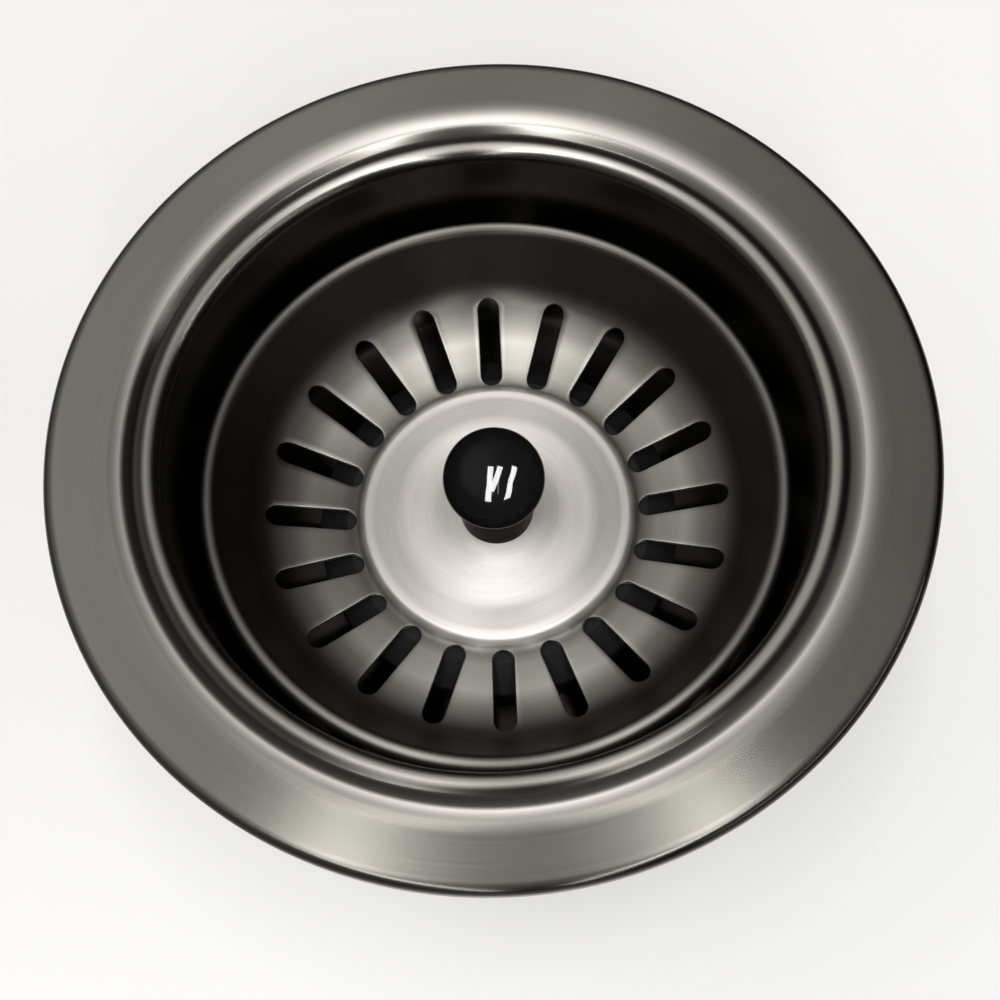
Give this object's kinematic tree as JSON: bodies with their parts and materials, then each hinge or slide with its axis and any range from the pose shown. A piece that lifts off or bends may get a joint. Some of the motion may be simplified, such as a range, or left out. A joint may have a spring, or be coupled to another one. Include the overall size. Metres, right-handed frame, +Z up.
{
  "type": "sink strainer",
  "caption": "Kitchen-sink basket strainer: flanged brushed-steel cup, lift-out slotted basket with ball knob and stopper, clamping locknut and outlet coupling nut.",
  "frame": {"origin": "on the drain's axis, in the face under the flange that lies on the sink", "axes": "+Z up along the drain's axis, out of the sink; +Y away from the picture's camera"},
  "size_m": [0.114, 0.114, 0.0734],
  "materials": {
    "gunmetal_steel": "circular brushed, dark gunmetal coating",
    "stainless": "turned satin",
    "black_gloss": "polished black",
    "black_rubber": "moulded matte",
    "brown_fibre": "pressed fibre board",
    "red_fibre": "vulcanised fibre",
    "zinc_casting": "die-cast zinc",
    "white_poly": "natural polyethylene",
    "black_plastic": "moulded satin",
    "brass_insert": "turned"
  },
  "bodies": {
    "drain": {"strainer_body": "gunmetal_steel", "flange_gasket": "black_rubber", "outlet_sleeve": "stainless", "outlet_seal": "red_fibre", "outlet_crosspiece": "stainless"},
    "catch": {"catch_bush": "white_poly"},
    "basket": {"strainer_basket": "gunmetal_steel", "ball_knob": "black_gloss", "knob_insert": "brass_insert", "neck_collar": "black_gloss", "lift_post": "stainless", "backing_washer": "stainless", "stopper_seal": "black_rubber", "stopper_washer": "stainless", "stopper_nut": "stainless"},
    "clamp_rings": {"sink_gasket": "black_rubber", "friction_ring": "brown_fibre"},
    "locknut": {"locknut": "zinc_casting"},
    "tail_washer": {"tailpiece_washer": "white_poly"},
    "coupling_nut": {"coupling_nut": "black_plastic"}
  },
  "joints": [
    {"name": "basket_turn", "type": "hinge", "parent": "drain", "child": "catch", "pos_m": [0, 0, -0.036], "axis": [0, 0, 1], "continuous": true},
    {"name": "basket_lift", "type": "slide", "parent": "catch", "child": "basket", "axis": [0, 0, 1], "range_m": [0, 0.06]},
    {"name": "clamp_slide", "type": "slide", "parent": "drain", "child": "clamp_rings", "axis": [0, 0, 1], "range_m": [0, 0.0135]},
    {"name": "locknut_turn", "type": "hinge", "parent": "clamp_rings", "child": "locknut", "pos_m": [0, 0, -0.025], "axis": [0, 0, 1], "range_deg": [0, 1620]},
    {"name": "tail_washer_slide", "type": "slide", "parent": "drain", "child": "tail_washer", "axis": [0, 0, 1], "range_m": [-0.0088, 0]},
    {"name": "coupling_nut_turn", "type": "hinge", "parent": "tail_washer", "child": "coupling_nut", "pos_m": [0, 0, -0.062], "axis": [0, 0, 1], "range_deg": [-1440, 0]}
  ],
  "couplings": [
    {"joint": "clamp_slide", "follows": "locknut_turn", "m_per_rad": 0.00047746},
    {"joint": "tail_washer_slide", "follows": "coupling_nut_turn", "m_per_rad": 0.00035014}
  ]
}
